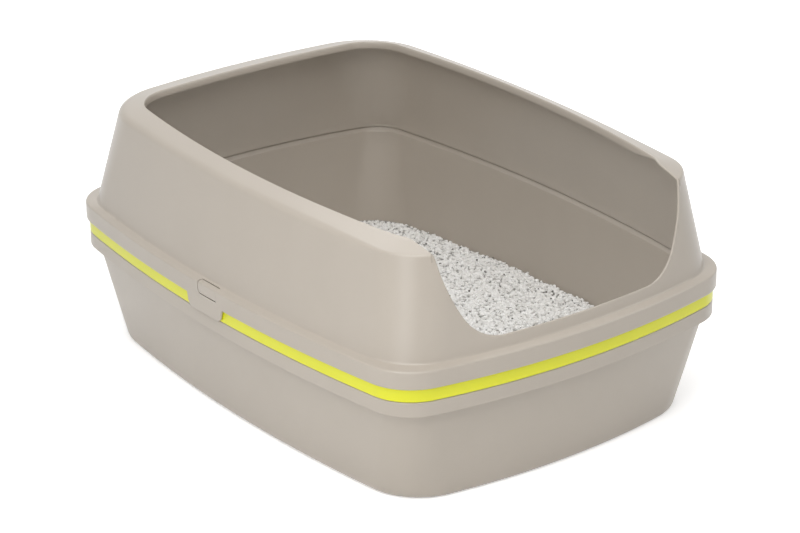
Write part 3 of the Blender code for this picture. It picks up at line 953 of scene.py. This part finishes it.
def scatter(name, form, shapes, chance):
    # copies of the granule shapes over the litter, those beside the pan's wall made to fit
    spacing, jitter, tilt = form["spacing"], litterForm["jitter"], litterForm["tilt"]
    rowSpacing = spacing * litterForm["rowPitch"]
    outline = ringAt(wallPlan(panLip - bedEdge), panForm["wall"], bedEdge, bedStations)
    reachX, reachY = outline[:, 0].max(), outline[:, 1].max()
    polar = np.arctan2(outline[:, 1] / reachY, outline[:, 0] / reachX)
    size = np.hypot(outline[:, 1] / reachY, outline[:, 0] / reachX)
    order = np.argsort(polar)
    polar, size = polar[order], size[order]
    points, faces, tones, first = [], [], [], 0
    for row in range(int(2 * reachY / rowSpacing) + 1):
        for column in range(int(2 * reachX / spacing) + 1):
            x = -reachX + (column + (row % 2) / 2 + chance.uniform(-jitter, jitter)) * spacing
            y = -reachY + (row + chance.uniform(-jitter, jitter)) * rowSpacing
            limit = np.interp(math.atan2(y / reachY, x / reachX), polar, size, period=2 * math.pi)
            room = (limit - math.hypot(y / reachY, x / reachX)) * reachX
            shape, polygons = chance.choice(shapes)
            dark = chance.random() < form["dark"]
            radius = chance.uniform(form["smallest"], form["largest"])
            radius *= litterForm["darkSize"] if dark else 1
            spin = Matrix.Rotation(chance.uniform(0, 2 * math.pi), 3, "Z")
            lean = Matrix.Rotation(chance.uniform(-tilt, tilt), 3, "X")
            placed = shape @ np.array(spin @ lean).T * radius
            extent = np.hypot(placed[:, 0], placed[:, 1]).max()
            if room < litterForm["least"] * extent:
                continue
            placed *= min(1, room / extent)
            unevenness = chance.uniform(-0.5, 0.5) * litterForm["unevenness"]
            placed += np.array([x, y, litterTop(x, y) + form["rise"] + unevenness])
            points.append(placed)
            faces.append(polygons + first)
            tone = chance.uniform(*litterForm["darkTone" if dark else "paleTone"])
            tones += [tone] * len(shape)
            first += len(shape)
    data = bpy.data.meshes.new(name)
    data.from_pydata(np.concatenate(points).tolist(), [], np.concatenate(faces).tolist())
    layer = data.attributes.new("tone", "FLOAT", "POINT")
    layer.data.foreach_set("value", np.array(tones, np.float32))
    data.update()
    granules = bpy.data.objects.new(name, data)
    bpy.context.scene.collection.objects.link(granules)
    print(name, "has", len(data.polygons), "faces")
    return granules


litterBed = makeBed()
smoothByAngle(litterBed, litterForm["crispAngle"])
litterChance = random.Random(litterForm["seed"])
grainShapes = granuleShapes(litterChance)
litterGrains = scatter("litterGrains", grainForm, grainShapes, litterChance)
litterCrumbs = scatter("litterCrumbs", crumbForm, grainShapes, litterChance)
print("litter made")

# materials


class Recipe:
    # the nodes of one material or world
    def __init__(self, owner):
        self.owner = owner
        owner.use_nodes = True
        self.tree = owner.node_tree

    def feed(self, socket, value):
        if isinstance(value, bpy.types.NodeSocket):
            self.tree.links.new(value, socket)
        elif isinstance(value, (tuple, list)) and len(value) == 3 and len(socket.default_value) == 4:
            socket.default_value = (*value, 1.0)
        else:
            socket.default_value = value

    def add(self, kind, settings=None, inputs=None, output=0):
        made = self.tree.nodes.new(kind)
        for key, value in (settings or {}).items():
            if key == "stops":
                while len(made.color_ramp.elements) < len(value):
                    made.color_ramp.elements.new(0.5)
                for stop, (place, colour) in zip(made.color_ramp.elements, value):
                    stop.position = place
                    stop.color = (*colour, 1.0)
            else:
                setattr(made, key, value)
        for key, value in (inputs or {}).items():
            self.feed(made.inputs[key], value)
        return made.outputs[output]

    def sum(self, operation, first, second):
        return self.add("ShaderNodeMath", {"operation": operation}, {0: first, 1: second})

    def spread(self, middle, noise, amount):
        off = self.sum("MULTIPLY", self.sum("SUBTRACT", noise, 0.5), amount)
        return self.sum("ADD", middle, off)

    def blend(self, share, first, second):
        # sockets 6 and 7 and output 2 are the node's colours
        inputs = {"Factor": share, 6: first, 7: second}
        return self.add("ShaderNodeMix", {"data_type": "RGBA"}, inputs, output=2)

    def place(self):
        # where on the piece, in metres
        return self.add("ShaderNodeTexCoord", output=3)

    def noise(self, place, size, detail):
        inputs = {"Vector": place, "Scale": size, "Detail": detail}
        return self.add("ShaderNodeTexNoise", None, inputs)

    def ramp(self, value, stops):
        return self.add("ShaderNodeValToRGB", {"stops": stops}, {"Fac": value})

    def bump(self, pattern, height):
        inputs = {"Strength": 1.0, "Distance": 1.0, "Height": self.sum("MULTIPLY", pattern, height)}
        return self.add("ShaderNodeBump", None, inputs)

    def seen(self):
        # 1 for rays that the camera, a reflection or glass sends out
        rays = self.add("ShaderNodeLightPath").node.outputs
        seen = self.sum("MAXIMUM", rays["Is Camera Ray"], rays["Is Glossy Ray"])
        return self.sum("MAXIMUM", seen, rays["Is Transmission Ray"])

    def finish(self, **inputs):
        names = {
            "colour": "Base Color",
            "roughness": "Roughness",
            "normal": "Normal",
            "specular": "Specular IOR Level",
            "glow": "Emission Color",
            "glowStrength": "Emission Strength",
        }
        shader = self.tree.nodes["Principled BSDF"]
        for key, value in inputs.items():
            self.feed(shader.inputs[names[key]], value)
        return self.owner


def newRecipe(name):
    return Recipe(bpy.data.materials.new(name))


# sizes of noise in cycles per metre

plasticLook = {
    "mottleSize": 18.0,
    "mottleDetail": 4.0,
    "dullSize": 55.0,
    "dullDetail": 2.0,
    "dull": 0.06,
    "waveSize": 16.0,
    "waveDetail": 1.0,
    "wave": 0.15 * mm,
    "shift": (0.7, 0.3, 0.5),  # from one piece's noise to the next one's
}

granuleLook = {
    "speckSize": 1400.0,
    "speckDetail": 3.0,
    "speck": 0.35,
    "bump": 0.35 * mm,
    "roughness": 0.85,
    "roughnessSpread": 0.2,
    "greys": [
        (0.0, (0.12, 0.115, 0.105)),
        (0.2, (0.30, 0.29, 0.275)),
        (0.6, (0.84, 0.83, 0.805)),
        (1.0, (0.95, 0.945, 0.93)),
    ],
}

bedPaintedShadeLook = {
    "cellSize": 420.0,
    "bump": 1.2 * mm,
    "roughness": 0.9,
    # painted shade: the bed is darker than the granules on it, and darker still towards the cells' edges
    # where the bump sinks, to give the shadowed gaps between granules
    "greys": [(0.0, (0.7, 0.69, 0.67)), (0.7, (0.36, 0.35, 0.33))],
}


def plastic(name, colour, shade, roughness, seed):
    look = plasticLook
    recipe = newRecipe(name)
    shift = tuple(seed * step for step in look["shift"])
    offset = recipe.add("ShaderNodeMapping", None, {"Vector": recipe.place(), "Location": shift})
    mottle = recipe.noise(offset, look["mottleSize"], look["mottleDetail"])
    wave = recipe.noise(offset, look["waveSize"], look["waveDetail"])
    dull = recipe.noise(offset, look["dullSize"], look["dullDetail"])
    return recipe.finish(
        colour=recipe.blend(mottle, shade, colour),
        roughness=recipe.spread(roughness, dull, look["dull"]),
        normal=recipe.bump(wave, look["wave"]),
    )


def granuleFinish(name):
    look = granuleLook
    recipe = newRecipe(name)
    tone = recipe.add("ShaderNodeAttribute", {"attribute_name": "tone"}, None, output=2)
    speck = recipe.noise(recipe.place(), look["speckSize"], look["speckDetail"])
    return recipe.finish(
        colour=recipe.ramp(recipe.spread(tone, speck, look["speck"]), look["greys"]),
        roughness=recipe.spread(look["roughness"], speck, look["roughnessSpread"]),
        normal=recipe.bump(speck, look["bump"]),
    )


def bedPaintedShadeFinish():
    look = bedPaintedShadeLook
    recipe = newRecipe("litterBedFinish")
    cells = recipe.add("ShaderNodeTexVoronoi", None, {"Vector": recipe.place(), "Scale": look["cellSize"]})
    return recipe.finish(
        # painted shade: darker towards the cells' edges, in the sunken crevices between them
        colour=recipe.ramp(cells, look["greys"]),
        roughness=look["roughness"],
        normal=recipe.bump(cells, -look["bump"]),
    )


warmGrey = ((0.475, 0.425, 0.365), (0.44, 0.392, 0.335))
limeYellow = ((0.76, 0.76, 0.014), (0.71, 0.72, 0.012))
panRoughness = 0.33
shieldRoughness = 0.30

riders = [
    (basePan, "base", "base_pan", warmGrey, panRoughness, 1),
    (siftingTray, "sifter", "sifting_tray", limeYellow, shieldRoughness, 2),
    (litterPan, "litter_box", "litter_pan", warmGrey, panRoughness, 3),
    (shield, "shield", "entry_shield", warmGrey, shieldRoughness, 4),
    (tongues["Left"], "latch_left", "latch_tongue_left", warmGrey, shieldRoughness, 5),
    (tongues["Right"], "latch_right", "latch_tongue_right", warmGrey, shieldRoughness, 6),
    (litterBed, "litter_box", "litter_bed", None, None, None),
]
for piece, body, node, colours, roughness, seed in riders:
    finish = plastic(piece.name + "Finish", *colours, roughness, seed) if colours else bedPaintedShadeFinish()
    piece.data.materials.clear()
    piece.data.materials.append(finish)
    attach(piece, body)
    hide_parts(node)
for piece, name in ((litterGrains, "litterGrainFinish"), (litterCrumbs, "litterCrumbFinish")):
    piece.data.materials.append(granuleFinish(name))
    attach(piece, "litter_box")
print("materials set")

# stage

stageForm = {
    "floor": 12.0,
    "floorColour": (0.95, 0.95, 0.95),
    "glowNear": (0.47, 0.47, 0.47),
    "glowFar": (0.85, 0.85, 0.85),
    "nearEdge": 0.08,  # shares of half the floor's width
    "farEdge": 0.3,
    "roughness": 0.95,
    "world": 0.25,
}

bpy.ops.object.select_all(action="DESELECT")
bpy.ops.mesh.primitive_plane_add(size=stageForm["floor"], location=(0, 0, 0))
floor = bpy.context.object
floor.name = "studioFloor"
bpy.ops.object.transform_apply(location=True, rotation=True, scale=True)


def floorFinish():
    # the glow is stronger far off, where less of the lamps' light falls
    form = stageForm
    recipe = newRecipe("studioFloorFinish")
    away = recipe.add("ShaderNodeVectorMath", {"operation": "LENGTH"}, {0: recipe.place()}, output=1)
    stops = [(form["nearEdge"], form["glowNear"]), (form["farEdge"], form["glowFar"])]
    glow = recipe.ramp(recipe.sum("MULTIPLY", away, 2 / form["floor"]), stops)
    shown = recipe.blend(recipe.seen(), (0.0, 0.0, 0.0), glow)
    look = {"roughness": form["roughness"], "specular": 0.0, "glow": shown, "glowStrength": 1.0}
    return recipe.finish(colour=form["floorColour"], **look)


floor.data.materials.append(floorFinish())

studio = Recipe(bpy.data.worlds.new("studio"))
bpy.context.scene.world = studio.owner
sky = studio.tree.nodes["Background"]
studio.feed(sky.inputs["Color"], (1.0, 1.0, 1.0))
strengths = {"Value": studio.seen(), "To Min": stageForm["world"], "To Max": 1.0}
studio.feed(sky.inputs["Strength"], studio.add("ShaderNodeMapRange", None, strengths))

lampTarget = (0, 0, 0.1)
lamps = [
    {"name": "keySoftbox", "size": 0.8, "energy": 8.6, "from": (-0.75, -0.65, 1.25)},
    {"name": "sideSoftbox", "size": 0.8, "energy": 2.2, "from": (-1.2, -0.5, 0.7)},
    {"name": "lowSoftbox", "size": 0.5, "energy": 1.6, "from": (-1.05, -0.8, 0.3)},
    {"name": "topSoftbox", "size": 1.1, "energy": 9.5, "from": (-0.25, -0.25, 1.85)},
    {"name": "highSoftbox", "size": 1.2, "energy": 6.0, "from": (0.5, 0.75, 1.8)},
    {"name": "rightSoftbox", "size": 1.4, "energy": 10.5, "from": (1.9, -1.5, 1.3)},
    {"name": "backSoftbox", "size": 1.6, "energy": 7.0, "from": (1.2, 1.9, 1.7)},
]
for lamp in lamps:
    bpy.ops.object.light_add(type="AREA", location=lamp["from"])
    light = bpy.context.object
    light.name = lamp["name"]
    light.data.size = lamp["size"]
    light.data.energy = lamp["energy"]
    light.visible_camera = False
    aim = Vector(lampTarget) - Vector(lamp["from"])
    light.rotation_euler = aim.to_track_quat("-Z", "Y").to_euler()

cameraForm = {
    "azimuth": -0.644,
    "elevation": 0.408,
    "roll": -0.010,
    "distance": 2.4739,
    "focal": 2841.3,  # in pixels
    "pictureWidth": 800,
    "sensor": 36,
    "target": (0.05106, 0.05695, 0.05872),
}
azimuth, elevation, roll = cameraForm["azimuth"], cameraForm["elevation"], cameraForm["roll"]
level = math.cos(elevation)
back = Vector((math.sin(azimuth) * level, -math.cos(azimuth) * level, math.sin(elevation)))
right = Vector((math.cos(azimuth), math.sin(azimuth), 0))
up = back.cross(right)
turnedRight = right * math.cos(roll) + up * math.sin(roll)
turnedUp = up * math.cos(roll) - right * math.sin(roll)
cameraData = bpy.data.cameras.new("photoCamera")
cameraData.sensor_width = cameraForm["sensor"]
cameraData.lens = cameraForm["focal"] / cameraForm["pictureWidth"] * cameraForm["sensor"]
camera = bpy.data.objects.new("photoCamera", cameraData)
bpy.context.scene.collection.objects.link(camera)
pose = Matrix((turnedRight, turnedUp, back)).transposed().to_4x4()
pose.translation = Vector(cameraForm["target"]) + back * cameraForm["distance"]
camera.matrix_world = pose
bpy.context.scene.camera = camera
bpy.context.scene.view_settings.view_transform = "Standard"

print("scene ready")
